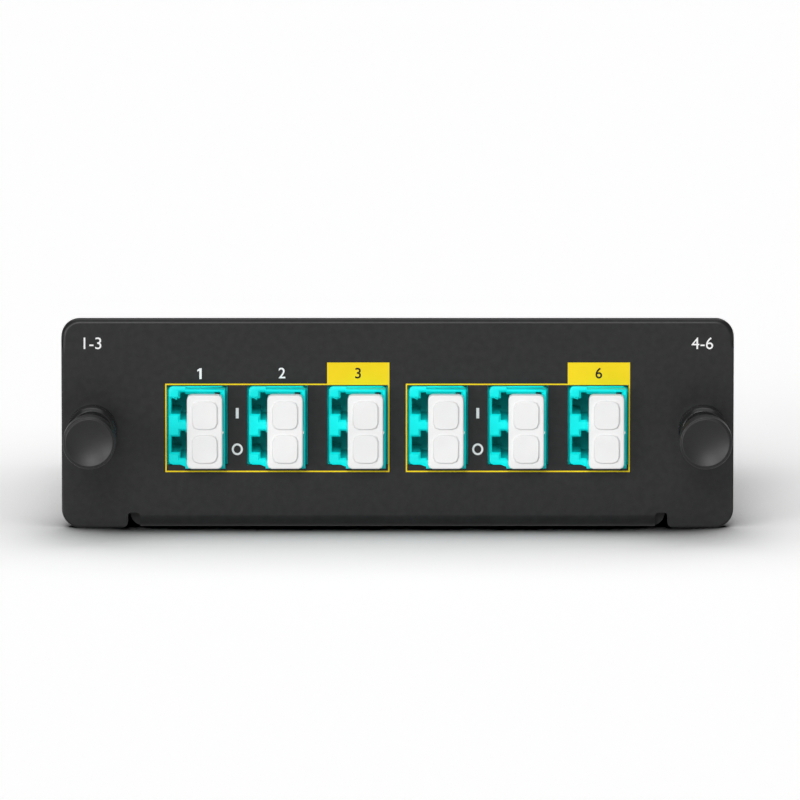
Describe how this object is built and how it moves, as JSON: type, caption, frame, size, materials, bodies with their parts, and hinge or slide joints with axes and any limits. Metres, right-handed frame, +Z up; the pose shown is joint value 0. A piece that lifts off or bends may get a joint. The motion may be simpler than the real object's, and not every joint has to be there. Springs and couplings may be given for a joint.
{
  "type": "fibre cassette",
  "caption": "Slim black sheet-metal fibre cassette with a front panel of aqua duplex adapters under white dust caps, two yellow frames and push-in ear latches.",
  "frame": {"origin": "middle of the bounding box, on the underside of the floor", "axes": "+X along the panel to the right, +Y from the panel to the rear, +Z up"},
  "size_m": [0.109, 0.0986, 0.0342],
  "materials": {
    "black_coat": "fine black powder coat",
    "screw_steel": "blackened steel",
    "plate_steel": "zinc plated",
    "tube_steel": "plain stainless tube",
    "aqua_plastic": "satin moulded",
    "plug_plastic": "satin moulded",
    "zirconia": "ground",
    "black_plastic": "satin nylon",
    "white_plastic": "satin moulded",
    "inner_plastic": "natural nylon",
    "boot_rubber": "matte",
    "fibre_jacket": "tight-buffer jacket",
    "yellow_ink": "screen print"
  },
  "bodies": {
    "cassette": {"base_tray": "black_coat", "lid": "black_coat", "lid_screws": "screw_steel", "adapter_1": "aqua_plastic", "adapter_2": "aqua_plastic", "adapter_3": "aqua_plastic", "adapter_4": "aqua_plastic", "adapter_5": "aqua_plastic", "adapter_6": "aqua_plastic", "adapter_rear_1": "aqua_plastic", "adapter_rear_2": "aqua_plastic", "adapter_rear_3": "aqua_plastic", "adapter_rear_4": "aqua_plastic", "adapter_rear_5": "aqua_plastic", "adapter_rear_6": "aqua_plastic", "sleeves": "zirconia", "retainer": "plate_steel", "retainer_nuts": "screw_steel", "latch_grommet_left": "black_plastic", "latch_grommet_right": "black_plastic", "lc_plug_01": "plug_plastic", "lc_plug_02": "plug_plastic", "lc_plug_03": "plug_plastic", "lc_plug_04": "plug_plastic", "lc_plug_05": "plug_plastic", "lc_plug_06": "plug_plastic", "lc_plug_07": "plug_plastic", "lc_plug_08": "plug_plastic", "lc_plug_09": "plug_plastic", "lc_plug_10": "plug_plastic", "lc_plug_11": "plug_plastic", "lc_plug_12": "plug_plastic", "ferrules": "zirconia", "boots": "boot_rubber", "fibre_leads": "fibre_jacket", "fibre_coil": "fibre_jacket", "splitter_1": "tube_steel", "splitter_2": "tube_steel", "splitter_3": "tube_steel", "splitter_4": "tube_steel", "splitter_legs": "fibre_jacket", "fibre_guide_1": "inner_plastic", "fibre_guide_2": "inner_plastic", "fibre_guide_3": "inner_plastic", "fibre_guide_4": "inner_plastic", "panel_print": "yellow_ink"},
    "plunger_left": {"latch_plunger_left": "black_plastic"},
    "plunger_right": {"latch_plunger_right": "black_plastic"},
    "cap_1": {"dust_cap_1": "white_plastic"},
    "cap_2": {"dust_cap_2": "white_plastic"},
    "cap_3": {"dust_cap_3": "white_plastic"},
    "cap_4": {"dust_cap_4": "white_plastic"},
    "cap_5": {"dust_cap_5": "white_plastic"},
    "cap_6": {"dust_cap_6": "white_plastic"}
  },
  "joints": [
    {"name": "plunger_left_push", "type": "slide", "parent": "cassette", "child": "plunger_left", "axis": [0, 1, 0], "range_m": [0, 0.008]},
    {"name": "plunger_right_push", "type": "slide", "parent": "cassette", "child": "plunger_right", "axis": [0, 1, 0], "range_m": [0, 0.008]},
    {"name": "cap_1_pull", "type": "slide", "parent": "cassette", "child": "cap_1", "axis": [0, -1, 0], "range_m": [0, 0.012]},
    {"name": "cap_2_pull", "type": "slide", "parent": "cassette", "child": "cap_2", "axis": [0, -1, 0], "range_m": [0, 0.012]},
    {"name": "cap_3_pull", "type": "slide", "parent": "cassette", "child": "cap_3", "axis": [0, -1, 0], "range_m": [0, 0.012]},
    {"name": "cap_4_pull", "type": "slide", "parent": "cassette", "child": "cap_4", "axis": [0, -1, 0], "range_m": [0, 0.012]},
    {"name": "cap_5_pull", "type": "slide", "parent": "cassette", "child": "cap_5", "axis": [0, -1, 0], "range_m": [0, 0.012]},
    {"name": "cap_6_pull", "type": "slide", "parent": "cassette", "child": "cap_6", "axis": [0, -1, 0], "range_m": [0, 0.012]}
  ]
}
